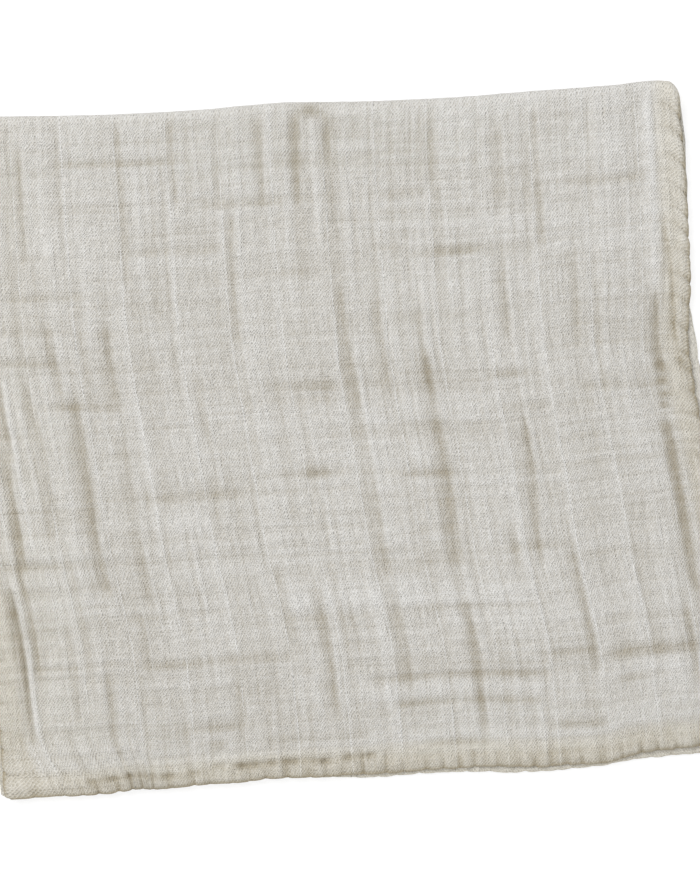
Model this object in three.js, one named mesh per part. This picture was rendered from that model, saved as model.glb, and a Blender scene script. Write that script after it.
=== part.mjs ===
import * as THREE from 'three';

// A burp cloth of crinkled cotton muslin, folded once across its length and laid flat.
// Millimetres, +Z up. The fold runs along the +Y side and the two hems lie on the -Y side.
// "Across" is measured from the left edge, "down" from the fold, both along the cloth.

// Driving dimensions.
const clothWidth = 284;
const clothLength = 500;
const thickness = 2.4; // all the muslin layers and the air between them
const leafGap = 0.9; // between the under leaf and the upper leaf, where the upper one is level
const loopRadius = 2.2; // middle of the cloth round the fold
const loopSettle = 30; // the upper leaf comes down from the fold's loop over this length
const rimRound = 1; // a turned rim bulges this far past its two faces
const foldEndRound = 10; // rounding of the fold's line at its two ends
const hemEndRound = 3; // rounding of each leaf's outline at the hem's two ends
const foldEase = 14; // a ridge or trough rises and dies away over this length
const edgeEase = 60; // an edge that stands in gathers this much of the cloth beside it
const edgeSteps = [0, 1, 2.6, 5.2]; // closer columns beside the left and right edges
const middleColumns = 51;
const rowsPerLeaf = 12;
const rowsRoundFold = 10;

// Stations across the cloth: how far the fold's line stands above its left end, and how far
// each leaf reaches down from it. The hems were stitched on the crinkle, so they wander.
const stations = [
  { across: 0, rise: 0, upper: 252.6, under: 252.0 },
  { across: 14, rise: 0.5, upper: 251.6, under: 250.9 },
  { across: 31, rise: 0.95, upper: 252.1, under: 251.3 },
  { across: 45, rise: 1.1, upper: 250.3, under: 249.6 },
  { across: 60, rise: 1.3, upper: 249.9, under: 249.2 },
  { across: 78, rise: 1.85, upper: 248.6, under: 248.0 },
  { across: 95, rise: 2.7, upper: 247.6, under: 247.0 },
  { across: 110, rise: 3.7, upper: 247.8, under: 247.4 },
  { across: 122, rise: 4.9, upper: 248.6, under: 248.9 },
  { across: 137, rise: 6.1, upper: 249.0, under: 250.2 },
  { across: 150, rise: 6.35, upper: 248.4, under: 249.8 },
  { across: 165, rise: 6.5, upper: 247.4, under: 249.1 },
  { across: 185, rise: 7.3, upper: 247.4, under: 249.3 },
  { across: 203, rise: 8.2, upper: 248.4, under: 250.1 },
  { across: 215, rise: 9.2, upper: 248.5, under: 250.0 },
  { across: 226, rise: 10.1, upper: 248.5, under: 249.5 },
  { across: 237, rise: 10.95, upper: 246.6, under: 248.2 },
  { across: 250, rise: 11.9, upper: 245.9, under: 248.0 },
  { across: 260, rise: 12.7, upper: 245.9, under: 248.0 },
  { across: 267, rise: 13.7, upper: 246.3, under: 248.4 },
  { across: 273, rise: 14.2, upper: 246.3, under: 248.3 },
  { across: 284, rise: 14, upper: 245.4, under: 247.0 },
];

// Stations down from the fold: how far the warp has slid to the right of its place at the
// fold, and how far each leaf's right and left edges stand in from the cut width.
const slants = [
  { down: 0, slide: 0, upperRight: 2.4, underRight: 1.6, upperLeft: 0.4, underLeft: 0.4 },
  { down: 7, slide: 0.3, upperRight: 3.2, underRight: 0.6, upperLeft: 0.3, underLeft: 0.5 },
  { down: 16, slide: 1.0, upperRight: 1.9, underRight: 0.2, upperLeft: 0.2, underLeft: 0.6 },
  { down: 37, slide: 3.0, upperRight: 0.8, underRight: 1.2, upperLeft: 0.0, underLeft: 1.0 },
  { down: 74, slide: 5.3, upperRight: 1.4, underRight: 2.6, upperLeft: 0.6, underLeft: 0.8 },
  { down: 92, slide: 7.0, upperRight: 4.2, underRight: 2.8, upperLeft: 0.9, underLeft: 0.2 },
  { down: 111, slide: 10.0, upperRight: 5.0, underRight: 2.8, upperLeft: 0.4, underLeft: 0.9 },
  { down: 130, slide: 14.1, upperRight: 5.0, underRight: 3.0, upperLeft: 0.0, underLeft: 1.1 },
  { down: 167, slide: 21.2, upperRight: 4.6, underRight: 3.2, upperLeft: 0.7, underLeft: 0.1 },
  { down: 204, slide: 27.5, upperRight: 5.0, underRight: 3.4, upperLeft: 0.8, underLeft: -0.4 },
  { down: 240, slide: 31.5, upperRight: 5.4, underRight: 3.6, upperLeft: 0.6, underLeft: -1.0 },
  { down: 256, slide: 32.6, upperRight: 5.6, underRight: 3.8, upperLeft: 0.6, underLeft: -1.2 },
];

// The upper leaf's main troughs (negative rise) and ridges, which follow the warp. Each runs
// down from one distance to another, and its place across may drift on the way.
const warpFolds = [
  { across: 22, drift: -10, from: 96, to: 252, width: 4.5, rise: -0.5 },
  { across: 29, drift: -8, from: 120, to: 250, width: 4.0, rise: 0.7 },
  { across: 36.5, drift: 1, from: 10, to: 58, width: 4.0, rise: -0.4 },
  { across: 34.5, drift: 0, from: 100, to: 146, width: 4.0, rise: -0.4 },
  { across: 48, drift: -1.5, from: 104, to: 178, width: 4.5, rise: -0.5 },
  { across: 55, drift: 0, from: 60, to: 190, width: 4.0, rise: 0.5 },
  { across: 74, drift: 0, from: 0, to: 42, width: 4.0, rise: -0.4 },
  { across: 89, drift: 2, from: 14, to: 60, width: 4.0, rise: -0.4 },
  { across: 96, drift: -2.5, from: 96, to: 160, width: 4.5, rise: -0.5 },
  { across: 104, drift: -2, from: 90, to: 214, width: 5.0, rise: 0.5 },
  { across: 128, drift: -3, from: 170, to: 228, width: 4.5, rise: -0.5 },
  { across: 146, drift: 0, from: 2, to: 42, width: 6.5, rise: -0.6 },
  { across: 152, drift: 3, from: 60, to: 212, width: 4.5, rise: -0.6 },
  { across: 161, drift: 2, from: 50, to: 220, width: 5.0, rise: 0.8 },
  { across: 182.5, drift: -1.5, from: 82, to: 174, width: 4.5, rise: -0.6 },
  { across: 190, drift: -1, from: 70, to: 190, width: 4.5, rise: 0.7 },
  { across: 214.5, drift: -1.5, from: 112, to: 174, width: 4.5, rise: -0.5 },
  { across: 222.5, drift: 0.5, from: 184, to: 234, width: 4.5, rise: -0.5 },
  { across: 229, drift: 0, from: 12, to: 62, width: 4.0, rise: -0.4 },
  { across: 238, drift: 0, from: 90, to: 230, width: 5.0, rise: 0.6 },
  { across: 269, drift: -3, from: 58, to: 248, width: 3.5, rise: -0.6 },
  { across: 275, drift: -1.5, from: 40, to: 248, width: 3.5, rise: 0.6 },
];

// A smooth curve through one column of a table.
const curveOf = (rows, along, name) => {
  const places = rows.map((row) => row[along]);
  const values = rows.map((row) => row[name]);
  const curve = new THREE.CubicInterpolant(places, values, 1);
  return (place) => curve.evaluate(place)[0];
};

const foldRise = curveOf(stations, 'across', 'rise');
const slide = curveOf(slants, 'down', 'slide');
const leaves = {
  upper: {
    reach: curveOf(stations, 'across', 'upper'),
    rightIn: curveOf(slants, 'down', 'upperRight'),
    leftIn: curveOf(slants, 'down', 'upperLeft'),
  },
  under: {
    reach: curveOf(stations, 'across', 'under'),
    rightIn: curveOf(slants, 'down', 'underRight'),
    leftIn: curveOf(slants, 'down', 'underLeft'),
  },
};

// How far a rounded corner of the given radius has cut in, by the distance from the edge.
const cornerCut = (radius, distance) => {
  const inside = Math.max(radius - distance, 0);
  return radius - Math.sqrt(radius * radius - inside * inside);
};

// How far the upper leaf stands above its level height.
const foldHeight = (across, down) => {
  let height = 0;
  for (const fold of warpFolds) {
    const share = (down - fold.from) / (fold.to - fold.from);
    const offset = (across - fold.across - fold.drift * share) / fold.width;
    const begins = THREE.MathUtils.smoothstep(down, fold.from - foldEase, fold.from + foldEase);
    const ends = THREE.MathUtils.smoothstep(down, fold.to - foldEase, fold.to + foldEase);
    height += fold.rise * Math.exp(-offset * offset) * (begins - ends);
  }
  return height;
};

// The middle of the cloth in its own section, from the fold's tip: "along" is negative in the
// under leaf and positive in the upper leaf. "out" and "up" point to the cloth's outer face.
const loopHalf = (loopRadius * Math.PI) / 2;
const loopTop = thickness / 2 + 2 * loopRadius;
const upperLevel = thickness * 1.5 + leafGap;
const section = (along) => {
  if (Math.abs(along) < loopHalf) {
    const turn = along / loopRadius;
    const height = thickness / 2 + loopRadius * (1 + Math.sin(turn));
    return { down: loopRadius * (1 - Math.cos(turn)), height, out: Math.cos(turn), up: Math.sin(turn) };
  }
  const past = Math.abs(along) - loopHalf;
  if (along < 0) {
    return { down: loopRadius + past, height: thickness / 2, out: 0, up: -1 };
  }
  const settled = THREE.MathUtils.smoothstep(past, 0, loopSettle);
  const height = THREE.MathUtils.lerp(loopTop, upperLevel, settled);
  return { down: loopRadius + past, height, out: 0, up: 1 };
};

// One point of the cloth: "column" is its place across the cut width, and "face" runs from -1 on
// the inner face to +1 on the outer one. "rim" says which edges it lies on.
const sectionDepth = loopRadius + clothLength / 2 - loopHalf;
const placePoint = (column, along, face, rim) => {
  const leaf = along > 0 ? leaves.upper : leaves.under;
  const place = section(along);
  const shareDown = place.down / sectionDepth;

  const faceIn = rim.side && face !== 0 ? rimRound : 0;
  const leftShare = 1 - THREE.MathUtils.smoothstep(column, 0, edgeEase);
  const rightShare = THREE.MathUtils.smoothstep(column, clothWidth - edgeEase, clothWidth);
  const leftIn = (leaf.leftIn(place.down) + faceIn) * leftShare;
  const rightIn = (leaf.rightIn(place.down) + faceIn) * rightShare;
  const across = column + leftIn - rightIn;
  const fromEdge = Math.min(column, clothWidth - column);

  const outer = thickness / 2;
  const tip = foldRise(across) - outer - cornerCut(foldEndRound, fromEdge);
  const hemIn = cornerCut(hemEndRound, fromEdge) + (rim.hem && face !== 0 ? rimRound : 0);
  const hem = foldRise(across) - leaf.reach(across) + hemIn;
  const middle = THREE.MathUtils.lerp(tip, hem, shareDown);
  const lift = Math.max(place.up, 0) * foldHeight(across, place.down);

  return new THREE.Vector3(
    across + slide(place.down),
    middle + place.out * face * outer,
    place.height + place.up * face * outer + lift,
  );
};

// Columns from the left edge to the right edge, and rows from the under leaf's hem, round the
// fold, to the upper leaf's hem.
const evenly = (start, end, count) =>
  Array.from({ length: count }, (_, index) => THREE.MathUtils.lerp(start, end, index / (count - 1)));
const columnPlaces = [
  ...edgeSteps,
  ...evenly(foldEndRound, clothWidth - foldEndRound, middleColumns),
  ...edgeSteps.map((step) => clothWidth - step).reverse(),
];
const leafEnd = clothLength / 2;
const loopEnd = loopHalf + 1;
const rowPlaces = [
  ...evenly(-leafEnd, -loopEnd - loopSettle / 3, rowsPerLeaf),
  ...evenly(-loopEnd, loopEnd, rowsRoundFold),
  ...evenly(loopEnd + loopSettle / 3, leafEnd, rowsPerLeaf + 3),
];

const makeBurpCloth = () => {
  const columns = columnPlaces.length - 1;
  const rows = rowPlaces.length - 1;
  const geometry = new THREE.BoxGeometry(1, 1, 1, columns, 2, rows);
  geometry.deleteAttribute('normal');
  geometry.deleteAttribute('uv');
  const position = geometry.attributes.position;
  for (let index = 0; index < position.count; index++) {
    const column = Math.round((position.getX(index) + 0.5) * columns);
    const face = Math.round(position.getY(index) * 2);
    const row = Math.round((position.getZ(index) + 0.5) * rows);
    const rim = { side: column === 0 || column === columns, hem: row === 0 || row === rows };
    const point = placePoint(columnPlaces[column], rowPlaces[row], face, rim);
    position.setXYZ(index, point.x, point.y, point.z);
  }
  geometry.computeBoundingBox();
  const middle = geometry.boundingBox.getCenter(new THREE.Vector3());
  geometry.translate(-middle.x, -middle.y, -geometry.boundingBox.min.z);
  geometry.computeVertexNormals();
  return geometry;
};

const muslin = new THREE.MeshStandardMaterial({ color: 0xdad7ce, roughness: 0.95, metalness: 0 });
const burpCloth = new THREE.Mesh(makeBurpCloth(), muslin);
burpCloth.name = 'burp_cloth';

const group = new THREE.Group();
group.add(burpCloth);

export default group;
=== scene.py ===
import math

import bmesh
import bpy
import numpy as np
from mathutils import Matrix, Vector


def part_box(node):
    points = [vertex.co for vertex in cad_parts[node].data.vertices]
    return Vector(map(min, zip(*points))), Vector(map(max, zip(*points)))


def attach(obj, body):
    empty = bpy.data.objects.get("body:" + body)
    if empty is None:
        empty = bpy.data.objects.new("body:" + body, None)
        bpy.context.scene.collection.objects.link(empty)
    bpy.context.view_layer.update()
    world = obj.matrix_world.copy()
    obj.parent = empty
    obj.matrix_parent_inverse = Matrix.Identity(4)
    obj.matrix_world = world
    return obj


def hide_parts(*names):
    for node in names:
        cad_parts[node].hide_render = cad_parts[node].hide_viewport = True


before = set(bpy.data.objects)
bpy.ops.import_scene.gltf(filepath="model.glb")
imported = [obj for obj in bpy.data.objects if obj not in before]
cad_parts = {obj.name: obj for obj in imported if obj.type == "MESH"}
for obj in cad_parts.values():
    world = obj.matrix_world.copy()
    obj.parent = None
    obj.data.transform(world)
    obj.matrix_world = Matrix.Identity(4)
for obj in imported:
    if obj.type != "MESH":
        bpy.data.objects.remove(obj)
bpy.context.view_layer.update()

# A crinkled cotton muslin burp cloth, folded once and lying flat. The cloth is worked out in
# millimetres in its own flat coordinates: "across" from the left edge, "along" from the fold
# (negative in the under leaf, positive in the upper one) and "face" from -1, the inner face,
# to +1, the outer face. Only the last step turns those into metres in the CAD frame.
mm = 0.001
clothLow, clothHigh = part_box("burp_cloth")

cloth = {
    "width": 284.0,
    "length": 500.0,
    "thick": 2.4,
    "leafGap": 0.9,
    "loopRadius": 2.2,
    "loopSettle": 30.0,
    "tipRaise": 0.7,
    "edgeSettle": 0.7,  # the upper leaf's edges lie this much closer to the under leaf
    "edgeThin": 0.8,
    "underCurl": 1.3,  # beside the fold the under leaf's right edge lifts this much
    "curlAcross": (264, 283),
    "curlFrom": (3, 8),
    "curlTo": (30, 48),
    "rimDepth": 1.3,  # the turned rim is half a circle this deep
    "foldEndRound": 8.0,
    "hemEndRound": 3.0,
    "edgeEase": 60.0,  # an edge that stands in gathers this much of the cloth beside it
    "columns": 300,
    "upperRows": 196,
    "hemRows": 14,
    "loopRows": 16,
    "hemBand": 12.0,  # the hem rows are the ones this near the hem
    "underRows": 14,
    "pinchRows": 16,  # the under leaf's rows stand closer between these two drops
    "pinchFrom": 84.0,
    "pinchTo": 128.0,
    "innerColumns": 54,
    "innerRows": 22,
    "innerLoopRows": 10,
    "rimAngles": (62, 36, 12, -12, -36, -62, -88),
    "rimMargins": (0.9, 2.4, 4.2),  # rings of the inner face, this far in from the rim
    "rimShade": 1.3,
    "innerMargin": 7.0,  # the coarse inner face starts this far in from the edges
    "firstTack": 15.2,  # the layers are bonded along warpwise lines this far apart
    "tackSpacing": 19.3,
}

# Across the cloth: how far the fold's line stands above its left end, and each leaf's reach
stations = [
    {"across": 0, "rise": 0, "upper": 252.6, "under": 252.0},
    {"across": 14, "rise": 0.5, "upper": 251.6, "under": 250.9},
    {"across": 31, "rise": 0.95, "upper": 251.1, "under": 250.5},
    {"across": 45, "rise": 1.1, "upper": 249.7, "under": 249.0},
    {"across": 60, "rise": 1.3, "upper": 249.9, "under": 249.2},
    {"across": 78, "rise": 1.85, "upper": 248.6, "under": 248.0},
    {"across": 95, "rise": 2.7, "upper": 247.6, "under": 247.0},
    {"across": 110, "rise": 3.7, "upper": 247.8, "under": 247.4},
    {"across": 122, "rise": 4.9, "upper": 248.6, "under": 248.9},
    {"across": 137, "rise": 6.1, "upper": 249.0, "under": 250.2},
    {"across": 150, "rise": 6.35, "upper": 248.4, "under": 249.8},
    {"across": 165, "rise": 6.5, "upper": 247.4, "under": 249.1},
    {"across": 185, "rise": 7.3, "upper": 247.4, "under": 249.3},
    {"across": 203, "rise": 8.2, "upper": 248.4, "under": 250.1},
    {"across": 215, "rise": 9.2, "upper": 248.5, "under": 250.0},
    {"across": 226, "rise": 10.1, "upper": 248.5, "under": 249.5},
    {"across": 237, "rise": 10.95, "upper": 246.6, "under": 248.2},
    {"across": 250, "rise": 11.9, "upper": 245.9, "under": 248.0},
    {"across": 260, "rise": 12.7, "upper": 245.9, "under": 248.0},
    {"across": 267, "rise": 13.7, "upper": 246.3, "under": 248.4},
    {"across": 273, "rise": 14.2, "upper": 246.3, "under": 248.3},
    {"across": 284, "rise": 14, "upper": 245.4, "under": 247.0},
]

# How far the cloth's warp has slipped to the right, by the drop below the left end's fold line
slips = [
    {"drop": -14, "slip": 0}, {"drop": 0, "slip": 0}, {"drop": 31.5, "slip": 1.7},
    {"drop": 68.5, "slip": 4.3}, {"drop": 87, "slip": 6.1}, {"drop": 105.5, "slip": 9.1},
    {"drop": 124.5, "slip": 12.6}, {"drop": 143, "slip": 15.8}, {"drop": 161.5, "slip": 18.9},
    {"drop": 180, "slip": 23.2}, {"drop": 196.5, "slip": 26.7}, {"drop": 213, "slip": 28.6},
    {"drop": 232, "slip": 30.4}, {"drop": 250, "slip": 31.5},
]

# Down from the fold: how far each edge stands in from the slipped warp
slants = [
    {"down": 0, "upperRight": -0.3, "underRight": -1.0, "upperLeft": 0.4, "underLeft": 0.4},
    {"down": 7, "upperRight": -0.6, "underRight": -1.5, "upperLeft": 0.3, "underLeft": 0.5},
    {"down": 16, "upperRight": -1.1, "underRight": -1.8, "upperLeft": 0.35, "underLeft": 0.75},
    {"down": 37, "upperRight": -1.4, "underRight": -1.5, "upperLeft": 0.9, "underLeft": 1.9},
    {"down": 74, "upperRight": -0.2, "underRight": 0.8, "upperLeft": 1.0, "underLeft": 1.2},
    {"down": 92, "upperRight": 2.3, "underRight": -0.5, "upperLeft": 0.9, "underLeft": 0.2},
    {"down": 111, "upperRight": 2.5, "underRight": -1.2, "upperLeft": 0.0, "underLeft": 0.5},
    {"down": 130, "upperRight": 1.8, "underRight": -1.6, "upperLeft": 0.1, "underLeft": 1.2},
    {"down": 167, "upperRight": 0.7, "underRight": -1.7, "upperLeft": 1.1, "underLeft": 0.5},
    {"down": 204, "upperRight": 2.5, "underRight": -0.3, "upperLeft": 0.4, "underLeft": -0.8},
    {"down": 240, "upperRight": 3.4, "underRight": 0.2, "upperLeft": 1.3, "underLeft": -0.3},
    {"down": 256, "upperRight": 3.6, "underRight": 0.2, "upperLeft": 1.6, "underLeft": -0.2},
]

# Folds along the warp, as (across at the top, across at the bottom, from, to, width, depth)
warpFolds = [
    (38, 38, 15, 55, 3, 0.6), (75, 75, 3, 62, 3, 0.5), (95, 95, 3, 36, 3, 0.5),
    (112, 112, 4, 38, 3, 0.4), (128, 128, 5, 38, 3, 0.5), (141, 141, 5, 38, 4, 0.8),
    (153, 153, 8, 22, 3, 0.7), (191, 191, 8, 30, 3, 0.5), (217, 217, 12, 42, 3, 0.6),
    (230, 230, 8, 57, 3, 0.8), (272, 271, 8, 80, 4, -0.4), (275, 278, 55, 97, 2, 0.9),
    (270, 272, 80, 110, 3, 1.1), (154, 155, 70, 90, 3, 0.5), (156, 156, 90, 176, 4, 0.7),
    (167, 168, 75, 108, 3, 0.3), (182, 184, 75, 110, 3, 0.5), (184, 184, 96, 172, 5, 0.8),
    (215, 215, 62, 90, 3, 0.5), (240, 240, 62, 95, 3, 0.4), (23, 23, 97, 125, 3, 0.9),
    (22, 20, 125, 166, 3, 0.9), (18, 18, 166, 206, 3, 0.8), (13, 13, 175, 229, 4, 0.9),
    (34, 35, 100, 130, 3, 0.8), (35, 34, 130, 158, 3, 0.6), (50, 50, 106, 178, 4, 0.9),
    (45, 46, 80, 106, 3, 0.5), (66, 66, 78, 110, 3, 0.5), (66, 65, 120, 180, 3, 0.5),
    (44, 44, 208, 240, 3, 0.7), (97, 97, 95, 125, 3, 0.4), (97, 96, 136, 156, 4, 0.5),
    (128, 127, 180, 226, 4, 0.6), (138, 138, 188, 212, 3, 0.4), (93, 93, 205, 240, 3, 0.5),
    (115, 115, 172, 202, 4, 0.5), (115, 115, 40, 90, 3, 0.4), (31, 31, 190, 225, 3, 0.4),
    (60, 60, 186, 206, 2, 0.5), (76, 75, 150, 172, 3, 0.4), (216, 214, 122, 175, 3, 0.7),
    (205, 204, 160, 182, 3, 0.5), (226, 226, 168, 215, 3, 0.7), (222, 223, 215, 234, 5, 0.5),
    (270, 270, 128, 190, 4, 0.9), (264, 265, 196, 225, 3, 0.6), (156, 156, 184, 220, 4, 0.5),
    (182, 182, 190, 236, 3, 0.6), (26, 25, 98, 160, 2, -0.5), (37, 37, 100, 140, 2, -0.5),
    (15, 15, 170, 228, 2, -0.6), (158, 158, 90, 165, 4, -0.4),
]

# Creases along the weft, as (down at the left end, down at the right end, from, to, depth)
weftCreases = [
    (19, 19, 50, 97, 0.6), (36, 36, 50, 77, 0.4), (36, 37, 105, 134, 0.6), (46, 46, 75, 107, 0.3),
    (52, 52, 78, 112, 0.5), (68, 68, 27, 60, 0.5), (64, 64, 90, 145, 0.4), (92, 93, 22, 48, 0.5),
    (96, 96, 53, 83, 0.3), (109, 109, 42, 67, 0.6), (106, 106, 122, 150, 0.5), (36, 36, 243, 268, 0.8),
    (58, 57, 186, 207, 0.8), (57, 57, 207, 245, 0.3), (55, 55, 165, 178, 0.6), (20, 20, 162, 184, 0.4),
    (35, 35, 168, 190, 0.4), (39, 39, 208, 234, 0.4), (104, 104, 206, 219, 0.6),
    (50, 50, 250, 263, 0.4), (112, 114, 238, 272, 0.6), (88, 88, 236, 253, 0.4),
    (166, 166, 12, 35, 0.5), (178, 178, 57, 76, 0.3), (205, 205, 62, 115, 0.6),
    (144, 144, 72, 106, 0.5), (138, 138, 130, 141, 0.7), (229, 229, 70, 91, 0.6),
    (236, 235, 100, 139, 0.6), (190, 190, 157, 210, 0.4), (215, 215, 141, 205, 0.6),
    (225, 225, 150, 206, 0.6), (208, 208, 207, 226, 0.7), (212, 212, 230, 266, 0.8),
    (221, 221, 233, 248, 0.5), (235, 235, 208, 227, 0.7), (234, 234, 252, 264, 0.5),
    (168, 168, 203, 221, 0.5), (174, 174, 223, 250, 0.4), (161, 161, 168, 184, 0.4),
    (172, 172, 168, 185, 0.5), (140, 140, 165, 186, 0.5), (138, 138, 206, 218, 0.5),
    (240, 240, 162, 181, 0.6),
]

# Broad steps across the warp, the cloth darker above and paler below, partly from the light on
# their slopes and partly painted, shade for a positive depth and light for a negative one, as
# (down at the left end, down at the right end, from, to, width, depth)
weftSteps = [
    (177.4, 178.4, 113, 204, 8, 0.2),
    (187, 188, 113, 204, 8, -0.3),
    (108.4, 108.8, 141, 200, 7, 0.2),
    (120, 120.5, 141, 200, 9, -0.25),
    (127.4, 128, 102, 130, 5, 0.15),
    (125.8, 126.8, 141, 215, 6, 0.2),
    (136, 136.5, 141, 180, 8, -0.2),
    (144.8, 145, 70, 118, 7, 0.2),
    (156, 156, 74, 100, 9, -0.2),
    (215.4, 215.6, 141, 206, 8, 0.2),
    (223, 223.5, 141, 206, 6, -0.25),
    (225.8, 226.2, 150, 206, 5, 0.2),
    (205.6, 205.8, 56, 118, 7, 0.2),
    (212.2, 212.6, 233, 268, 6, 0.2),
    (219, 219.5, 232, 262, 5, -0.25),
    (77, 77, 60, 72, 6, -0.3),
    (36.8, 36.6, 243, 268, 5, 0.15),
    (58.4, 57.4, 186, 205, 6, 0.15),
    (97, 97, 64, 92, 6, 0.1),
    (120, 121, 97, 130, 9, -0.2),
]

# The muslin's crinkle: rows of puffs as (pitch, length, rise, shade), with sharp valleys between that
# get painted shade by the last number
crinkle = {
    "ribs": [(1.6, 60, 0.26, 0.24), (3.7, 160, 0.42, 0.24), (7.9, 260, 0.30, 0.08)],
    "ribWander": 0.7,
    "steps": [(1.5, 0.27, 0.25), (3.6, 0.36, 0.21), (9.5, 0.24, 0.06)],
    "stripShare": 0.34,  # how unlike the steps of two neighbouring strips are
    "swell": 0.25,
    "tackRise": 0.10,
    "tackDip": 0.35,
    "tackWidth": 0.8,
    "calmFold": 10.0,  # the crinkle is drawn flat over the fold and comes back by here
    "sway": 0.3,  # how far the yarns wander in the plane of the cloth
    "rightDip": (2.6, 1.7),  # beside a bonding line, as (how far from it, half width)
    "leftDip": (-2.0, 1.5),
    "dipShade": 0.22,
    "foldWander": 0.35,
    "foldEnds": 5.0,  # a fold or crease fades in and out over this much each way
    "foldShift": 0.02,  # how far each kind's section is moved, in its own widths
    "narrowShift": -0.2,
    "broadShift": 0.2,
    "creaseWidth": 1.8,
    "creaseSpread": 2.8,  # a deeper crease is wider
    "underShare": 0.7,  # how much of the crinkle is left below the under leaf
    "innerShare": 0.4,  # how much of the folds shows inside the upper leaf
    "foldLine": 0.5,
    "foldLean": 1.4,  # the folds at the right lie this much further over beside the pinch
    "cornerPaintedLight": 0.16,  # the painted shade is lighter towards the top right corner
    "pocketShade": 1.45,
    "foldRelief": 1.5,
    "foldShade": 1.05,
    "creaseRelief": 1.1,
    "creaseShade": 0.84,
}

# Where the crinkle is stronger or calmer, its painted shade weaker, and the folds lie further
# over. A pair of places is where something starts and where it is complete
lie = {
    "plain": 0.9,
    "leftGain": 0.3,
    "leftAcross": (40, 80),
    "leftDown": (70, 130),
    "hemGain": 0.2,
    "hemDown": (150, 215),
    "foldCalm": 0.12,  # this share of the crinkle is left on the fold itself
    # the painted shade keeps this share on the fold itself
    "foldTone": 0.35,
    "foldToneDown": (1, 7),
    "leanAcross": (185, 250),
    "leanFrom": (45, 85),
    "leanTo": (118, 165),
    "paleCornerAcross": (180, 235),
    "paleCornerDown": (50, 100),
}

# Small hollows in the upper leaf, as (across, down, half width, half length, depth)
pockets = [
    (272, 107, 2, 2, 0.8), (272, 113, 2, 1.5, 1.0), (272, 118, 2, 1.5, 0.9), (271, 122, 2, 1.5, 0.9),
    (280, 105, 2, 2, 1.1), (147, 4, 4, 3, 1.0), (136, 138, 4, 3, 0.3), (12, 183, 2, 2, 0.4),
    (82, 236, 3, 2, 0.4),
]

# Creases that the hem's seam draws, as (in from the hem at the left end, in from the hem at the
# right end, from, to, depth)
hemCreases = [
    (5, 5, 25, 68, 0.8), (5, 6, 68, 90, 0.4), (6, 6, 88, 122, 0.8), (6, 7, 121, 140, 0.8),
    (6, 6, 142, 176, 0.15), (5, 5, 176, 236, 0.2), (6, 6, 236, 276, 0.2),
]

# Hollows where the seam was caught, as (across, in from the hem, half width, depth)
hemPockets = [
    (28, 5, 2, 0.8), (35, 5, 2, 0.8), (43, 5, 2, 0.8), (53, 4, 2, 0.6), (62, 5, 2, 0.8),
    (73, 5, 2, 1.0), (82, 7, 2, 1.1), (91, 6, 2, 1.1), (96, 6, 2, 1.0), (101, 6, 2, 0.8),
    (109, 6, 2, 0.9), (120, 6, 2, 0.9), (130, 7, 2, 0.8), (138, 7, 2, 0.9),
]

edge = {
    "puff": 0.75,  # the turned edge is this much fuller than the leaf
    "puffWidth": 5.2,
    "dartWidth": 0.85,
    "notch": 0.75,
    "creaseRelief": 1.3,
    "creaseWidth": 1.2,
    "creaseShade": 0.75,
    "pocketRelief": 1.4,
    "pocketShade": 0.6,
    "waver": 0.3,  # the rim's outline wanders this far in and out
    "hemShade": 0.3,  # the upper hem's last few millimetres are drawn a little darker
    "hemShadeBand": (3, 8),
    "hemDrag": 7.4,  # the hem was pulled this far to the right near its left end
    "dragDown": (226, 249),
    "dragFrom": (0, 12),
    "dragTo": (36, 64),
    "hemPitch": 7,
    "sidePitch": 9,
    "dartReach": (4, 9),
    "dartDepth": (0.4, 0.8),
    "leftShift": 4.3,  # the left edge's darts are set off from the right edge's
    "underShift": 3.1,  # and the under hem's from the upper hem's
    "seamWander": 0.5,
    "seamEnds": 2.0,
    "pocketTall": 1.15,
}


# Painted shade on the rims, painted light on the under leaf's shaded strip and the edges' cream tint,
# on the scale of the painted shade in the cloth's hollows
edgeTone = {
    "upperPower": 1.5,
    "underRim": 0.8,
    "besideAcross": (268, 279),
    "underPaintedLight": 0.05,
    "besidePaintedLight": 0.6,
    "brightBand": (2, 6),
    "upperBand": (0.5, 2.6),
    "upperBandTone": 0.3,
    "underHollow": 0.3,
    "upperLow": -0.45,
    "underLow": -0.8,
    "high": 2.2,
    "cream": 0.6,
    "creamBand": (7, 13),
    "leftCream": 0.35,
    "leftCreamAcross": (10, 60),
}


# Small puckers of a stitched edge at an uneven pitch, as (place, reach, depth)
def seededDarts(pitch, end, seed):
    draws = np.random.default_rng(seed)
    darts = []
    place = pitch
    while place < end:
        darts.append((place, draws.uniform(*edge["dartReach"]), draws.uniform(*edge["dartDepth"])))
        place += pitch * draws.uniform(0.75, 1.25)
    return darts


hemDarts = seededDarts(edge["hemPitch"], cloth["width"] - 4, 81)
sideDarts = seededDarts(edge["sidePitch"], cloth["length"] / 2 - 5, 82)


def smoothStep(value, low, high):
    share = np.clip((value - low) / (high - low), 0.0, 1.0)
    return share * share * (3.0 - 2.0 * share)


# One between two places, easing to nothing at both
def stretch(value, start, end, ease):
    return smoothStep(value, start - ease, start + ease) - smoothStep(value, end - ease, end + ease)


# A smooth curve through one column of a table
def curveThrough(rows, key, name):
    places = np.array([row[key] for row in rows], dtype=float)
    values = np.array([row[name] for row in rows], dtype=float)
    slopes = np.gradient(values, places)

    def curve(at):
        at = np.clip(at, places[0], places[-1])
        index = np.clip(np.searchsorted(places, at, side="right") - 1, 0, len(places) - 2)
        span = places[index + 1] - places[index]
        t = (at - places[index]) / span
        start = values[index] * (1 + 2 * t) * (1 - t) ** 2 + slopes[index] * span * t * (1 - t) ** 2
        end = values[index + 1] * t * t * (3 - 2 * t) + slopes[index + 1] * span * t * t * (t - 1)
        return start + end

    return curve


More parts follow.
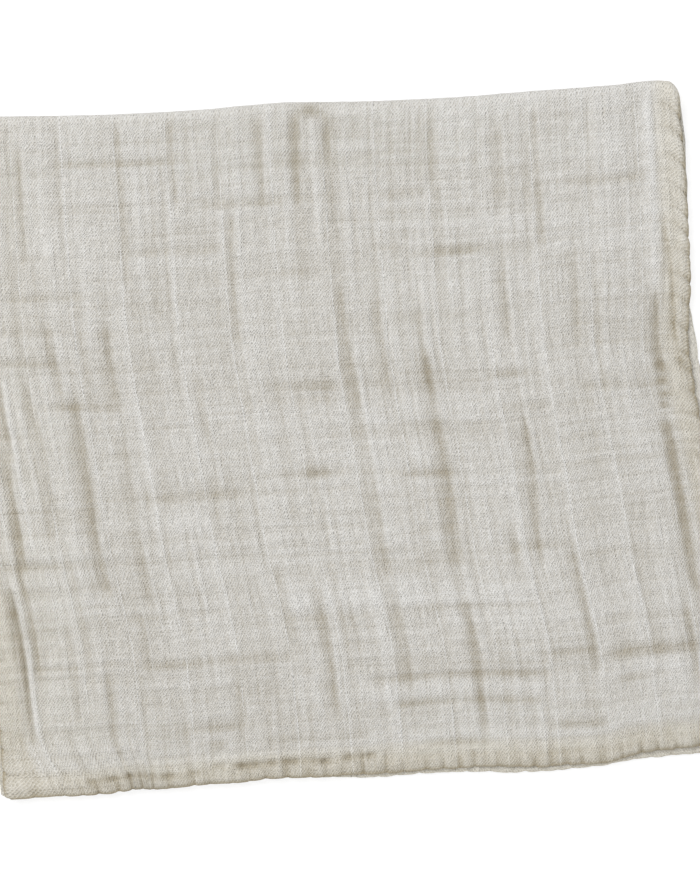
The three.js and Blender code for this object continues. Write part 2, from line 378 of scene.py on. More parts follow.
foldRise = curveThrough(stations, "across", "rise")
slip = curveThrough(slips, "drop", "slip")
leafCurves = {
    "upper": [
        curveThrough(stations, "across", "upper"),
        curveThrough(slants, "down", "upperRight"),
        curveThrough(slants, "down", "upperLeft"),
    ],
    "under": [
        curveThrough(stations, "across", "under"),
        curveThrough(slants, "down", "underRight"),
        curveThrough(slants, "down", "underLeft"),
    ],
}


# Seeded smooth noise from -1 to 1 on a lattice that may be stretched either way
def latticeNoise(across, along, stepAcross, stepAlong, seed):
    size = 320
    heights = np.random.default_rng(seed).uniform(-1, 1, (size, size))
    i = np.floor(across / stepAcross).astype(int)
    j = np.floor(along / stepAlong).astype(int)
    s = across / stepAcross - i
    t = along / stepAlong - j
    s = s * s * (3 - 2 * s)
    t = t * t * (3 - 2 * t)
    low = heights[i % size, j % size] * (1 - s) + heights[(i + 1) % size, j % size] * s
    high = heights[i % size, (j + 1) % size] * (1 - s) + heights[(i + 1) % size, (j + 1) % size] * s
    return low * (1 - t) + high * t


# Weftwise noise that changes from one strip between two bonding lines to the next
def stripNoise(across, along, step, seed):
    place = (across - cloth["firstTack"]) / cloth["tackSpacing"]
    strip = np.floor(place)
    share = place - strip
    return latticeNoise(strip * crinkle["stripShare"], along, 1.0, step, seed), np.sin(math.pi * share)


def puffed(noiseValue):
    return np.sqrt(noiseValue * noiseValue + 0.004) * 2.0 - 0.75


# A fold in section: the cloth sinks slowly towards the fold's line, climbs sharply out of it on
# the far side and stands a little proud there. How far it sinks is also painted into the colour as
# shade
def foldSection(share):
    sink = np.exp(-((share / np.where(share < 0, 0.7, 0.28)) ** 2))
    proud = np.exp(-(((share - 0.6) / 0.42) ** 2))
    return 0.4 * proud - sink, sink


def warpFoldHeight(across, down):
    height = np.zeros_like(across)
    hollowShade = np.zeros_like(across)
    wander = latticeNoise(down, across / 9, 17, 1.3, 33) * crinkle["foldWander"]
    fullness = 1.05 + 0.25 * latticeNoise(across, down, 11, 16, 37)
    for top, bottom, start, end, width, depth in warpFolds:
        share = np.clip((down - start) / (end - start), 0, 1)
        offset = across + wander - top - (bottom - top) * share
        section, sink = foldSection(offset / (width * fullness) + crinkle["foldShift"])
        window = stretch(down, start, end, crinkle["foldEnds"])
        height += section * depth * window
        hollowShade += sink * depth * window
    return height, hollowShade * (1 + 0.4 * latticeNoise(across, down, 9, 14, 34))


def weftCreaseHeight(across, down):
    height = np.zeros_like(across)
    hollowShade = np.zeros_like(across)
    wander = latticeNoise(across, down / 9, 8, 1.3, 35) * crinkle["foldWander"]
    narrow = []
    for *places, depth in weftCreases:
        width = crinkle["creaseWidth"] + crinkle["creaseSpread"] * abs(depth)
        narrow.append((*places, width, depth, crinkle["narrowShift"]))
    broad = [(*step, crinkle["broadShift"]) for step in weftSteps]
    for leftDown, rightDown, start, end, width, depth, edgeShift in narrow + broad:
        share = np.clip((across - start) / (end - start), 0, 1)
        offset = down + wander - leftDown - (rightDown - leftDown) * share
        section, sink = foldSection(offset / width + edgeShift)
        window = stretch(across, start, end, crinkle["foldEnds"])
        height += section * depth * window
        hollowShade += sink * depth * window
    return height, hollowShade * (1 + 0.4 * latticeNoise(across, down, 14, 9, 36))


# The crinkle that the muslin takes when it shrinks after weaving, and the painted shade that its
# valleys get
def crinkleHeight(across, along):
    drifted = across + latticeNoise(across, along, 24, 40, 12) * crinkle["ribWander"]
    block, window = stripNoise(across, along, 14, 24)
    ribCalm = 0.85 + 0.25 * latticeNoise(across, along, 31, 44, 21) + 0.35 * block
    stepCalm = 0.9 + 0.3 * latticeNoise(across, along, 52, 27, 22)
    height = np.zeros_like(across)
    shade = np.zeros_like(across)
    for number, (step, length, rise, depth) in enumerate(crinkle["ribs"]):
        puff = puffed(latticeNoise(drifted, along, step, length, 51 + number)) * ribCalm
        height += puff * rise
        shade += smoothStep(-puff, -0.15, 0.6) * depth
    for number, (step, rise, depth) in enumerate(crinkle["steps"]):
        noiseValue, window = stripNoise(across, along, step, 61 + number)
        puff = puffed(noiseValue) * stepCalm * (0.35 + 0.65 * np.sqrt(window))
        height += puff * rise
        shade += smoothStep(-puff, -0.15, 0.6) * depth
    swell = latticeNoise(across, along, 26, 30, 23) * crinkle["swell"]
    return height, swell, shade


# Where the layers are bonded a fine pleat stands up, and the cloth dips beside it
def tackHeight(across, along):
    place = (across - cloth["firstTack"]) / cloth["tackSpacing"]
    line = np.round(place)
    offset = (place - line) * cloth["tackSpacing"]
    vary = latticeNoise(line * 1.7, along, 1.0, 38, 71)
    pleat = crinkle["tackRise"] * np.exp(-((offset / crinkle["tackWidth"]) ** 2)) * (0.5 + 0.9 * vary)
    rightAt, rightWidth = crinkle["rightDip"]
    leftAt, leftWidth = crinkle["leftDip"]
    dip = np.exp(-(((offset - rightAt) / rightWidth) ** 2)) * (0.7 + 0.8 * vary)
    dip += np.exp(-(((offset - leftAt) / leftWidth) ** 2)) * (0.4 - 0.8 * vary)
    return pleat - crinkle["tackDip"] * dip, dip


# One turned edge: it puffs up between darts that pinch its rim and fan into the cloth, and the darts
# are painted with shade
def dartedEdge(runs, depth, darts):
    places = np.array([-8.0] + [dart[0] for dart in darts] + [cloth["width"] + 8.0])
    index = np.clip(np.searchsorted(places, runs) - 1, 0, len(places) - 2)
    span = places[index + 1] - places[index]
    share = np.clip((runs - places[index]) / span, 0, 1)
    inEdge = 1 - smoothStep(depth, edge["puffWidth"] - 1.5, edge["puffWidth"] + 1.5)
    fullness = np.sqrt(np.sin(math.pi * share)) * np.minimum(span / 7, 1)
    height = edge["puff"] * inEdge * (0.3 + 0.9 * fullness)
    pinch = np.zeros_like(runs)
    hollowShade = np.zeros_like(runs)
    for place, reach, strength in darts:
        valley = np.exp(-(((runs - place) / edge["dartWidth"]) ** 2)) * strength
        inside = valley * (1 - smoothStep(depth, reach * 0.5, reach * 1.3))
        height -= inside
        hollowShade += inside
        pinch += valley
    return height, hollowShade, pinch


def edgeHeight(across, along):
    down = np.abs(along)
    fromSide = np.maximum(np.minimum(across, cloth["width"] - across), 0.0)
    fromHem = np.maximum(cloth["length"] / 2 - down, 0.0)
    upper = smoothStep(along, -2.0, 2.0)
    leftShift = np.where(across > cloth["width"] / 2, 0.0, edge["leftShift"])
    sideRuns = down + leftShift * (1 - 0.4 * upper)
    hemRuns = across + (1 - upper) * edge["underShift"]
    sideHeight, sideHollow, sidePinch = dartedEdge(sideRuns, fromSide, sideDarts)
    hemHeight, hemHollow, hemPinch = dartedEdge(hemRuns, fromHem, hemDarts)
    height = sideHeight + hemHeight
    hollowShade = sideHollow * 0.8 + hemHollow
    hollowShade += upper * edge["hemShade"] * (1 - smoothStep(fromHem, *edge["hemShadeBand"]))

    # The seam draws a crease along part of the hem, and hollows wherever it was caught, both sunk and
    # painted with shade
    wander = latticeNoise(across, across * 0, 5.5, 10, 32)
    for leftAt, rightAt, start, end, depth in hemCreases:
        share = np.clip((across - start) / (end - start), 0, 1)
        offset = fromHem - leftAt - (rightAt - leftAt) * share - edge["seamWander"] * wander
        window = stretch(across, start, end, edge["seamEnds"])
        crease = np.exp(-((offset / edge["creaseWidth"]) ** 2)) * window * upper * depth
        height -= crease * edge["creaseRelief"]
        hollowShade += crease * edge["creaseShade"] * (1 + 0.3 * wander)
    for place, at, half, depth in hemPockets:
        away = ((across - place) / half) ** 2 + ((fromHem - at) / edge["pocketTall"]) ** 2
        caught = np.exp(-away) * upper * depth
        height -= caught * edge["pocketRelief"]
        hollowShade += caught * edge["pocketShade"]
    return height, hollowShade, sidePinch, hemPinch


def pocketHeight(across, down):
    height = np.zeros_like(across)
    for place, at, wide, tall, depth in pockets:
        height -= depth * np.exp(-(((across - place) / wide) ** 2) - ((down - at) / tall) ** 2)
    return height


def outerHeight(across, along):
    down = np.abs(along)
    upper = smoothStep(along, -2.0, 4.0)
    left = (1 - smoothStep(across, *lie["leftAcross"])) * smoothStep(down, *lie["leftDown"])
    zone = lie["plain"] + lie["leftGain"] * left
    zone += lie["hemGain"] * smoothStep(down, *lie["hemDown"])
    calm = lie["foldCalm"] + (1 - lie["foldCalm"]) * smoothStep(down, 2, crinkle["calmFold"])
    calmShade = lie["foldTone"] + (1 - lie["foldTone"]) * smoothStep(down, *lie["foldToneDown"])
    zone *= calm
    fine, swell, shade = crinkleHeight(across, along)
    tack, dip = tackHeight(across, along)
    # The tables count down from a line a little above the fold's own edge
    fallen = down + crinkle["foldLine"]
    beside = smoothStep(down, *lie["leanFrom"]) * (1 - smoothStep(down, *lie["leanTo"]))
    leaned = across - crinkle["foldLean"] * smoothStep(across, *lie["leanAcross"]) * beside
    folds, foldHollow = warpFoldHeight(leaned, fallen)
    creases, creaseHollow = weftCreaseHeight(leaned, fallen)
    hollows = pocketHeight(across, fallen) * upper
    rim, hollowShade, sidePinch, hemPinch = edgeHeight(across, along)
    height = (fine + tack) * zone + swell * smoothStep(down, 0, 20)
    height += (folds * crinkle["foldRelief"] + creases * crinkle["creaseRelief"]) * upper
    inwards = np.minimum(np.minimum(across, cloth["width"] - across), cloth["length"] / 2 - down)
    height += hollows + rim - cloth["edgeThin"] * (1 - smoothStep(inwards, 0, 3)) * upper
    # Painted shade: the crinkle's valleys, the dips beside the bonding lines, the pockets, folds and
    # creases darken the colour, less so on the fold, and the top right corner is painted lighter
    hollowShade += (shade + dip * crinkle["dipShade"]) * calmShade - hollows * crinkle["pocketShade"]
    corner = smoothStep(across, *lie["paleCornerAcross"]) * (1 - smoothStep(down, *lie["paleCornerDown"]))
    hollowShade -= crinkle["cornerPaintedLight"] * corner
    hollowShade += (foldHollow * crinkle["foldShade"] + creaseHollow * crinkle["creaseShade"]) * upper
    return height, hollowShade, sidePinch, hemPinch


# The middle of the cloth in its own section: how far down from the fold's tip, how high, and
# which way its outer face looks
def section(along):
    radius = cloth["loopRadius"]
    half = radius * math.pi / 2
    past = np.maximum(np.abs(along) - half, 0.0)
    turn = np.clip(along, -half, half) / radius
    down = radius * (1 - np.cos(turn)) + past
    height = cloth["thick"] / 2 + radius * (1 + np.sin(turn))
    settle = cloth["thick"] / 2 + 2 * radius - (cloth["thick"] * 1.5 + cloth["leafGap"])
    height -= np.where(along > 0, settle * smoothStep(past, 0, cloth["loopSettle"]), 0)
    return down, height, np.cos(turn), np.sin(turn), smoothStep(along, half, cloth["loopSettle"])


def cornerCut(radius, distance):
    inside = np.clip(radius - distance, 0, radius)
    return radius - np.sqrt(radius * radius - inside * inside)


# Flat coordinates to the lying cloth, in millimetres, with the outer face raised by "lift"
def placeCloth(across, along, face, lift, innerLift, sidePinch, hemPinch):
    down, height, out, up, resting = section(along)
    upper = smoothStep(along, -3.0, 3.0)
    reachUpper, rightUpper, leftUpper = [curve(value) for curve, value in zip(
        leafCurves["upper"], (across, down, down))]
    reachUnder, rightUnder, leftUnder = [curve(value) for curve, value in zip(
        leafCurves["under"], (across, down, down))]
    reach = reachUnder + (reachUpper - reachUnder) * upper
    rightIn = rightUnder + (rightUpper - rightUnder) * upper
    leftIn = leftUnder + (leftUpper - leftUnder) * upper

    fromEdge = np.maximum(np.minimum(across, cloth["width"] - across), 0)
    swayAcross = latticeNoise(across, along, 26, 34, 41) * crinkle["sway"]
    swayAlong = latticeNoise(across, along, 30, 22, 42) * crinkle["sway"]
    leafSeed = np.where(along > 0, 140.0, 0.0)
    still = np.zeros_like(across)
    waverSide = latticeNoise(down + leafSeed * 0.5, still, 3.2, 10, 43) * 0.6
    waverSide += latticeNoise(down + leafSeed * 0.5, still, 11, 10, 44)
    waverHem = latticeNoise(across, leafSeed, 3.0, 35, 45) * 0.6
    waverHem += latticeNoise(across, leafSeed, 10, 35, 46)
    rightward = np.sign(across - cloth["width"] / 2)
    nearSide = (1 - smoothStep(fromEdge, 0, 9)) * rightward
    nearHem = 1 - smoothStep(cloth["length"] / 2 - np.abs(along), 0, 9)

    leftShare = 1 - smoothStep(across, 0, cloth["edgeEase"])
    rightShare = smoothStep(across, cloth["width"] - cloth["edgeEase"], cloth["width"])
    halfThick = cloth["thick"] / 2
    tip = foldRise(across) - halfThick + cloth["tipRaise"] - cornerCut(cloth["foldEndRound"], fromEdge)
    hem = foldRise(across) - reach + cornerCut(cloth["hemEndRound"], fromEdge)
    depth = cloth["loopRadius"] + cloth["length"] / 2 - cloth["loopRadius"] * math.pi / 2
    middle = tip + (hem - tip) * down / depth
    drag = smoothStep(down, *edge["dragDown"]) * (1 - smoothStep(across, *edge["dragTo"]))
    drag *= smoothStep(across, *edge["dragFrom"])
    x = across + leftIn * leftShare - rightIn * rightShare + slip(-middle) + edge["hemDrag"] * drag
    x += swayAcross + (waverSide * edge["waver"] - sidePinch * edge["notch"]) * nearSide
    middle += swayAlong * smoothStep(down, 4, 30)
    middle += (hemPinch * edge["notch"] * 0.6 - waverHem * edge["waver"]) * nearHem
    raised = face * halfThick + lift * (face + 1) / 2
    y = middle + out * raised
    inwards = np.minimum(fromEdge, cloth["length"] / 2 - np.abs(along))
    height = height - resting * cloth["edgeSettle"] * (1 - smoothStep(inwards, 0, 12))
    curled = smoothStep(across, *cloth["curlAcross"]) * smoothStep(-along, *cloth["curlFrom"])
    curled *= 1 - smoothStep(down, *cloth["curlTo"])
    height = height + cloth["underCurl"] * curled
    z = height + up * raised + innerLift * (1 - face) / 2 * np.maximum(up, 0)
    return np.stack([x, y, z], axis=1)


# One closed slab in flat coordinates: a fine outer face, rims turned round it ring by ring,
# and a coarse inner face bridged to the last ring
def buildFlatSlab():
    bm = bmesh.new()
    base = bm.verts.layers.float_vector.new("base")
    outward = bm.verts.layers.float_vector.new("outward")
    rim = cloth["rimDepth"]
    width = cloth["width"]
    half = cloth["length"] / 2
    loop = cloth["loopRadius"] * math.pi / 2 + 0.5

    columns = np.linspace(rim, width - rim, cloth["columns"] + 1)
    rows = np.concatenate([
        np.linspace(-half + rim, -cloth["pinchTo"], cloth["underRows"], endpoint=False),
        np.linspace(-cloth["pinchTo"], -cloth["pinchFrom"], cloth["pinchRows"], endpoint=False),
        np.linspace(-cloth["pinchFrom"], -loop, cloth["underRows"], endpoint=False),
        np.linspace(-loop, loop, cloth["loopRows"], endpoint=False),
        np.linspace(loop, half - cloth["hemBand"], cloth["upperRows"], endpoint=False),
        np.linspace(half - cloth["hemBand"], half - rim, cloth["hemRows"] + 1),
    ])
    grid = bmesh.ops.create_grid(bm, x_segments=len(columns) - 1, y_segments=len(rows) - 1, size=0.5)
    for vert in grid["verts"]:
        column = round((vert.co.x + 0.5) * (len(columns) - 1))
        row = round((vert.co.y + 0.5) * (len(rows) - 1))
        vert.co = (columns[column], rows[row], 1.0)

    ringEdges = [side for side in bm.edges if side.is_boundary]
    for vert in {corner for side in ringEdges for corner in side.verts}:
        sideways = (vert.co.x > width - rim - 1e-4) - 1.0 * (vert.co.x < rim + 1e-4)
        endways = (vert.co.y > half - rim - 1e-4) - 1.0 * (vert.co.y < -half + rim + 1e-4)
        vert[base] = vert.co
        vert[outward] = Vector((sideways, endways, 0)).normalized()
    angles = [math.radians(angle) for angle in cloth["rimAngles"]]
    turns = [(rim * math.cos(angle), math.sin(angle)) for angle in angles]
    margins = [(-inset, -1.0) for inset in cloth["rimMargins"]]
    for reach, face in turns + margins:
        made = bmesh.ops.extrude_edge_only(bm, edges=ringEdges)["geom"]
        ringEdges = [item for item in made if isinstance(item, bmesh.types.BMEdge) and item.is_boundary]
        for vert in [item for item in made if isinstance(item, bmesh.types.BMVert)]:
            vert.co = vert[base] + vert[outward] * max(reach, 0)
            if reach < 0:
                vert.co.x += (vert.co.x - width / 2) * reach / (width / 2 - rim)
                vert.co.y += vert.co.y * reach / (half - rim)
            vert.co.z = face

    margin = cloth["innerMargin"]
    innerColumns = np.linspace(margin, width - margin, cloth["innerColumns"] + 1)
    innerRows = np.concatenate([
        np.linspace(-half + margin, -loop, cloth["innerRows"], endpoint=False),
        np.linspace(-loop, loop, cloth["innerLoopRows"], endpoint=False),
        np.linspace(loop, half - margin, cloth["innerRows"] + 1),
    ])
    grid = bmesh.ops.create_grid(
        bm, x_segments=len(innerColumns) - 1, y_segments=len(innerRows) - 1, size=0.5)
    innerVerts = set(grid["verts"])
    for vert in innerVerts:
        column = round((vert.co.x + 0.5) * (len(innerColumns) - 1))
        row = round((vert.co.y + 0.5) * (len(innerRows) - 1))
        vert.co = (innerColumns[column], innerRows[row], -1.0)
    innerEdges = [side for side in bm.edges if side.is_boundary and side.verts[0] in innerVerts]
    bmesh.ops.triangle_fill(bm, use_beauty=True, edges=ringEdges + innerEdges)
    bmesh.ops.recalc_face_normals(bm, faces=bm.faces)
    return bm


def makeCloth():
    bm = buildFlatSlab()
    mesh = bpy.data.meshes.new("muslin_cloth")
    bm.to_mesh(mesh)
    bm.free()
    mesh.attributes.remove(mesh.attributes["base"])
    mesh.attributes.remove(mesh.attributes["outward"])
    count = len(mesh.vertices)
    flat = np.empty(count * 3)
    mesh.vertices.foreach_get("co", flat)
    flat = flat.reshape(count, 3)
    across, along, face = flat[:, 0].copy(), flat[:, 1].copy(), flat[:, 2].copy()
    lift, paintedShade, sidePinch, hemPinch = outerHeight(across, along)

    # The under leaf's outer face lies on the surface, so there the crinkle only goes inwards
    under = 1 - smoothStep(along, -8, 0)
    sunk = np.abs(lift) * crinkle["underShare"]
    lift = np.where(under > 0, lift * (1 - under) - sunk * under, lift)
    innerLift = warpFoldHeight(across, np.abs(along))[0] * (along > 0) * crinkle["innerShare"]
    points = placeCloth(across, along, face, lift, innerLift, sidePinch, hemPinch)
    points[:, 2] = np.maximum(points[:, 2], 0.0)

    # Its plan box is centred on the CAD cloth's box
    middle = (points[:, :2].max(axis=0) + points[:, :2].min(axis=0)) / 2
    points[:, :2] -= middle
    points *= mm
    points[:, 0] += (clothLow[0] + clothHigh[0]) / 2
    points[:, 1] += (clothLow[1] + clothHigh[1]) / 2
    mesh.vertices.foreach_set("co", points.ravel())

    # The weave follows the cloth: its own flat coordinates in metres, the warp upwards
    uvLayer = mesh.uv_layers.new(name="weave")
    corners = np.empty(len(mesh.loops), dtype=np.int32)
    mesh.loops.foreach_get("vertex_index", corners)
    flatPlace = np.stack([across, -along], axis=1) * mm
    uvLayer.data.foreach_set("uv", flatPlace[corners].ravel())
    fromSide = np.minimum(across, cloth["width"] - across)
    inwards = np.minimum(fromSide, cloth["length"] / 2 - np.abs(along))
    # Painted shade on the rims: the upper leaf's rim darkens towards its edge, in a narrow band inside
    # it and on its turned-under half; the under leaf's rim only at its very edge
    rimShare = 1 - np.clip(inwards / cloth["rimDepth"], 0, 1)
    underRim = np.maximum(rimShare - edgeTone["underRim"], 0) * 2
    seen = np.where(along > 0, rimShare ** edgeTone["upperPower"], underRim)
    # The under leaf's strip lies in the upper leaf's shade and is painted lighter, much beside the
    # right edge and a little along the hem
    besideEdge = smoothStep(across, *edgeTone["besideAcross"])
    bright = edgeTone["underPaintedLight"] + edgeTone["besidePaintedLight"] * besideEdge
    seen -= bright * (1 - smoothStep(inwards, *edgeTone["brightBand"])) * (along < 0)
    upperBand = 1 - smoothStep(inwards, *edgeTone["upperBand"])
    seen += edgeTone["upperBandTone"] * upperBand * (along > 0)
    # The turned-under half of the upper leaf's rim faces away from the light and is painted darker
    turnedUnder = smoothStep(-face, -0.3, 0.5) * (along > 0)
    paintedShade = paintedShade * np.where(along > 0, 1, edgeTone["underHollow"])
    paintedShade += cloth["rimShade"] * (seen + turnedUnder)
    # This attribute carries the painted shade of the folds, creases, pockets, crinkle valleys and rims;
    # below zero it is painted light
    low = np.where(along > 0, edgeTone["upperLow"], edgeTone["underLow"])
    hollowShade = mesh.attributes.new("hollowShade", "FLOAT", "POINT")
    hollowShade.data.foreach_set("value", np.clip(paintedShade, low, edgeTone["high"]))
    # The edges and the left part are tinted creamier, the rims most, which warms their painted shade
    nearEdge = 1 - smoothStep(inwards, *edgeTone["creamBand"])
    nearLeft = edgeTone["leftCream"] * (1 - smoothStep(across, *edgeTone["leftCreamAcross"]))
    creamy = edgeTone["cream"] * (np.maximum(nearEdge, nearLeft) + rimShare)
    cream = mesh.attributes.new("cream", "FLOAT", "POINT")
    cream.data.foreach_set("value", creamy)
    mesh.polygons.foreach_set("use_smooth", [True] * len(mesh.polygons))
    mesh.update()
    piece = bpy.data.objects.new("muslin_cloth", mesh)
    bpy.context.scene.collection.objects.link(piece)
    bm = bmesh.new()
    bm.from_mesh(mesh)
    bmesh.ops.recalc_face_normals(bm, faces=bm.faces)
    bm.to_mesh(mesh)
    bm.free()
    return piece


def addNode(tree, kind, **settings):
    node = tree.nodes.new(kind)
    for name, value in settings.items():
        setattr(node, name, value)
    return node


def muslinMaterial():
    finish = {
        "light": (0.875, 0.864, 0.836, 1),
        # the next two are painted shade colours, for the hollows and for the deepest folds and rims
        "hollowShade": (0.515, 0.476, 0.398, 1),
        "deepShade": (0.335, 0.265, 0.162, 1),
        "cream": (1, 0.965, 0.87, 1),
        "tackLine": 0.00032,
        "roughness": 0.92,
        "sheen": 0.12,
        "crepePitch": 0.00085,
        "crepeAngle": 53,
        "pickPitch": 0.0008,
        "weaveDepth": 0.0004,
        "creaseDepth": 0.0006,
        "strongCrepe": 0.52,
        "faintCrepe": 0.26,
        "grain": 0.6,
        "picks": 0.11,
        "warpYarn": 0.8,
        "weftYarn": 0.48,
        "plainTone": 1.45,  # the tone is made of these and then scaled by the last
        "hollowTone": 0.62,
        "weaveTone": -0.76,
        "crinkleTone": -0.3,
        "lineHighlight": -0.6,
        "toneScale": 0.41,
    }
    material = bpy.data.materials.new("crinkled muslin")
    material.use_nodes = True
    tree = material.node_tree
    link = tree.links.new
    shader = tree.nodes["Principled BSDF"]
    shader.inputs["Roughness"].default_value = finish["roughness"]
    shader.inputs["Sheen Weight"].default_value = finish["sheen"]
    shader.inputs["Sheen Roughness"].default_value = 0.5
    shader.inputs["Specular IOR Level"].default_value = 0.2

    uv = addNode(tree, "ShaderNodeUVMap", uv_map="weave")
    hollowShade = addNode(tree, "ShaderNodeAttribute", attribute_name="hollowShade")

    # Crepe lines slant across the warp, one way strong and the other faint as the light picks out one
    # way; in the colour they are painted shade
    def crepeLines(angle, pitch, distortion, detailScale):
        mapping = addNode(tree, "ShaderNodeMapping")
        mapping.inputs["Rotation"].default_value = (0, 0, math.radians(90 - angle))
        link(uv.outputs["UV"], mapping.inputs["Vector"])
        wave = addNode(tree, "ShaderNodeTexWave", wave_type="BANDS", bands_direction="X")
        wave.inputs["Scale"].default_value = math.pi / 10 / pitch
        wave.inputs["Distortion"].default_value = distortion
        wave.inputs["Detail"].default_value = 1.0
        wave.inputs["Detail Scale"].default_value = detailScale
        link(mapping.outputs["Vector"], wave.inputs["Vector"])
        return wave.outputs["Fac"]

    def multiplyAdd(value, factor, addend):
        node = addNode(tree, "ShaderNodeMath", operation="MULTIPLY_ADD")
        link(value, node.inputs[0])
        node.inputs[1].default_value = factor
        if isinstance(addend, float):
            node.inputs[2].default_value = addend
        else:
            link(addend, node.inputs[2])
        return node.outputs["Value"]

    def yarnNoise(stretchAcross, stretchAlong, scale, detail):
        mapping = addNode(tree, "ShaderNodeMapping")
        mapping.inputs["Scale"].default_value = (stretchAcross, stretchAlong, 1)
        link(uv.outputs["UV"], mapping.inputs["Vector"])
        noise = addNode(tree, "ShaderNodeTexNoise")
        noise.inputs["Scale"].default_value = scale
        noise.inputs["Detail"].default_value = detail
        link(mapping.outputs["Vector"], noise.inputs["Vector"])
        return noise.outputs["Fac"]

    strong = crepeLines(finish["crepeAngle"], finish["crepePitch"], 6.0, 0.8)
    faint = crepeLines(-finish["crepeAngle"], finish["crepePitch"] * 1.05, 7.0, 0.9)
    picks = crepeLines(0, finish["pickPitch"], 2.5, 0.5)
    warpYarn = yarnNoise(1, 0.1, 1500, 1)
    weftYarn = yarnNoise(0.1, 1, 1500, 1)
    grain = yarnNoise(1, 1, 1300, 1)
    weave = multiplyAdd(strong, finish["strongCrepe"], 0.0)
    weave = multiplyAdd(faint, finish["faintCrepe"], weave)
    weave = multiplyAdd(grain, finish["grain"], weave)
    weave = multiplyAdd(picks, finish["picks"], weave)
    weave = multiplyAdd(warpYarn, finish["warpYarn"], weave)
    weave = multiplyAdd(weftYarn, finish["weftYarn"], weave)
    # The bonding lines' fine pleats get a painted highlight, a pale line that wanders a little
    lineWander = yarnNoise(0.2, 1, 120, 1)
    place = addNode(tree, "ShaderNodeSeparateXYZ")
    link(uv.outputs["UV"], place.inputs["Vector"])
    pitch = cloth["tackSpacing"] * mm
    line = multiplyAdd(place.outputs["X"], 1 / pitch, -cloth["firstTack"] * mm / pitch - 0.053)
    line = multiplyAdd(lineWander, 0.06, line)
    nearest = addNode(tree, "ShaderNodeMath", operation="PINGPONG")
    nearest.inputs[1].default_value = 0.5
    link(line, nearest.inputs[0])
    onLine = addNode(tree, "ShaderNodeMapRange", interpolation_type="SMOOTHSTEP")
    onLine.inputs["From Max"].default_value = finish["tackLine"] / pitch
    onLine.inputs["To Min"].default_value = 1.0
    onLine.inputs["To Max"].default_value = 0.0
    link(nearest.outputs["Value"], onLine.inputs["Value"])
    strength = yarnNoise(1, 0.4, 260, 1)
    faded = addNode(tree, "ShaderNodeMapRange")
    faded.inputs["From Min"].default_value = 0.35
    faded.inputs["From Max"].default_value = 0.6
    faded.inputs["To Min"].default_value = 0.3
    link(strength, faded.inputs["Value"])
    stronger = addNode(tree, "ShaderNodeMath", operation="MULTIPLY")
    link(onLine.outputs["Result"], stronger.inputs[0])
    link(faded.outputs["Result"], stronger.inputs[1])
    tackLine = stronger.outputs["Value"]

    warpCrinkle = yarnNoise(1, 0.05, 560, 2)
    weftCrinkle = yarnNoise(0.06, 1, 480, 2)
    creases = multiplyAdd(warpCrinkle, 1.0, 0.0)
    creases = multiplyAdd(weftCrinkle, 0.8, creases)
    creases = multiplyAdd(tackLine, 0.12, creases)

    creaseBump = addNode(tree, "ShaderNodeBump")
    creaseBump.inputs["Strength"].default_value = 1.0
    creaseBump.inputs["Distance"].default_value = finish["creaseDepth"]
    link(creases, creaseBump.inputs["Height"])
    weaveBump = addNode(tree, "ShaderNodeBump")
    weaveBump.inputs["Strength"].default_value = 1.0
    weaveBump.inputs["Distance"].default_value = finish["weaveDepth"]
    link(weave, weaveBump.inputs["Height"])
    link(creaseBump.outputs["Normal"], weaveBump.inputs["Normal"])
    link(weaveBump.outputs["Normal"], shader.inputs["Normal"])

    # The tone is painted shade: the hollows, the crepe lines and the fine crinkle's valleys darken the
    # colour, while the yarn noise gives the yarns' own tone, and the bonding lines' painted highlight
    # lightens it
    shade = multiplyAdd(weave, finish["weaveTone"], finish["plainTone"])
    shade = multiplyAdd(hollowShade.outputs["Fac"], finish["hollowTone"], shade)
    shade = multiplyAdd(warpCrinkle, finish["crinkleTone"], shade)
    shade = multiplyAdd(tackLine, finish["lineHighlight"], shade)
    shade = multiplyAdd(shade, finish["toneScale"], 0.0)
    # The tone picks the colour from the plain cloth through painted shade for the hollows to painted
    # shade for the deepest folds and rims. The edges and the left part are then tinted creamier, the
    # rims most
    cream = addNode(tree, "ShaderNodeAttribute", attribute_name="cream")
    tint = addNode(tree, "ShaderNodeValToRGB")
    tint.color_ramp.elements[0].color = finish["light"]
    tint.color_ramp.elements[1].color = finish["deepShade"]
    middleTone = tint.color_ramp.elements.new(0.5)
    middleTone.color = finish["hollowShade"]
    link(shade, tint.inputs["Fac"])
    warmed = addNode(tree, "ShaderNodeMix", data_type="RGBA", blend_type="MULTIPLY")
    warmed.inputs[7].default_value = finish["cream"]
    link(cream.outputs["Fac"], warmed.inputs[0])
    link(tint.outputs["Color"], warmed.inputs[6])
    link(warmed.outputs[2], shader.inputs["Base Color"])
    return material


muslin = muslinMaterial()
clothPiece = makeCloth()
clothPiece.data.materials.append(muslin)
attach(clothPiece, "root")
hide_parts("burp_cloth")


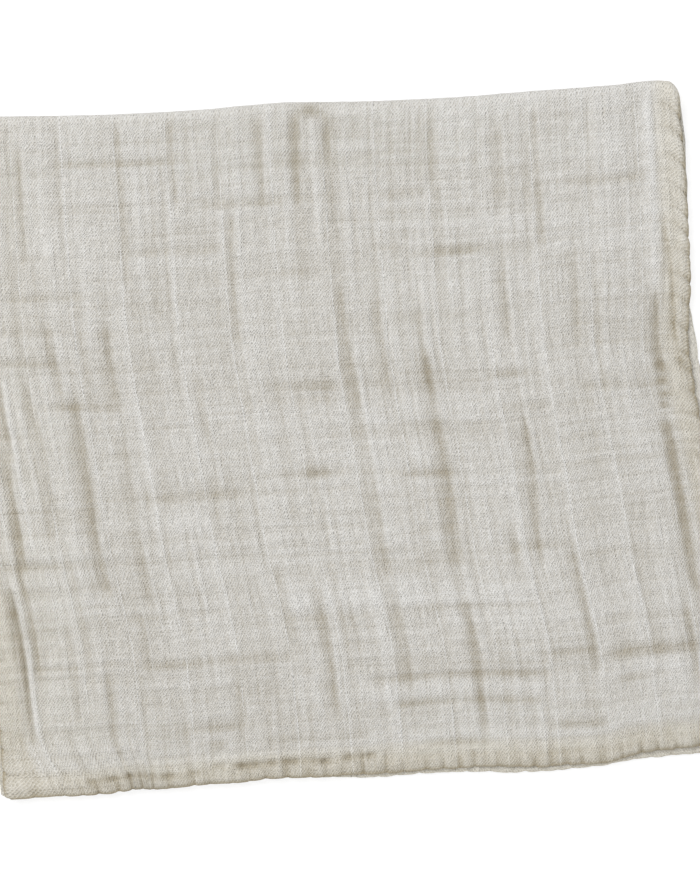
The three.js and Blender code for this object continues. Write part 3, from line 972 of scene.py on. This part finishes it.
# Pale floor that shows as white, and keeps the cloth's shadow
def makeFloor():
    finish = {"halfSize": 4.0, "roughness": 0.9, "seenTone": 0.36, "litTone": 0.9, "glow": 0.74}
    bm = bmesh.new()
    bmesh.ops.create_grid(bm, x_segments=1, y_segments=1, size=finish["halfSize"])
    mesh = bpy.data.meshes.new("floor")
    bm.to_mesh(mesh)
    bm.free()
    floor = bpy.data.objects.new("floor", mesh)
    bpy.context.scene.collection.objects.link(floor)
    material = bpy.data.materials.new("white floor")
    material.use_nodes = True
    tree = material.node_tree
    shader = tree.nodes["Principled BSDF"]
    shader.inputs["Roughness"].default_value = finish["roughness"]
    shader.inputs["Specular IOR Level"].default_value = 0.0
    shader.inputs["Emission Color"].default_value = (1, 1, 1, 1)
    path = addNode(tree, "ShaderNodeLightPath")
    bright = addNode(tree, "ShaderNodeMapRange")
    bright.inputs["To Min"].default_value = finish["litTone"]
    bright.inputs["To Max"].default_value = finish["seenTone"]
    tree.links.new(path.outputs["Is Camera Ray"], bright.inputs["Value"])
    tree.links.new(bright.outputs["Result"], shader.inputs["Base Color"])
    glow = addNode(tree, "ShaderNodeMath", operation="MULTIPLY")
    glow.inputs[1].default_value = finish["glow"]
    tree.links.new(path.outputs["Is Camera Ray"], glow.inputs[0])
    tree.links.new(glow.outputs["Value"], shader.inputs["Emission Strength"])
    mesh.materials.append(material)


def makeLights():
    lamps = [
        {"name": "key", "place": (-1.0, 0.85, 1.65), "size": 1.3, "power": 21.5},
        {"name": "fill", "place": (1.2, -1.2, 1.5), "size": 1.6, "power": 9.0},
    ]
    for lamp in lamps:
        data = bpy.data.lights.new(lamp["name"], "AREA")
        data.shape = "DISK"
        data.size = lamp["size"]
        data.energy = lamp["power"]
        light = bpy.data.objects.new(lamp["name"], data)
        light.location = lamp["place"]
        light.rotation_euler = (-Vector(lamp["place"])).to_track_quat("-Z", "Y").to_euler()
        bpy.context.scene.collection.objects.link(light)
    world = bpy.data.worlds.new("studio")
    bpy.context.scene.world = world
    world.use_nodes = True
    background = world.node_tree.nodes["Background"]
    background.inputs["Color"].default_value = (1, 1, 1, 1)
    background.inputs["Strength"].default_value = 0.52


def makeCamera():
    view = {"height": 1.1, "frameHeight": 0.3246, "across": 0.0041, "up": 0.0009}
    data = bpy.data.cameras.new("camera")
    data.lens = data.sensor_width * view["height"] / view["frameHeight"]
    camera = bpy.data.objects.new("camera", data)
    camera.location = (view["across"], view["up"], view["height"] + 0.005)
    bpy.context.scene.collection.objects.link(camera)
    bpy.context.scene.camera = camera


makeFloor()
makeLights()
makeCamera()
bpy.context.scene.view_settings.view_transform = "Standard"
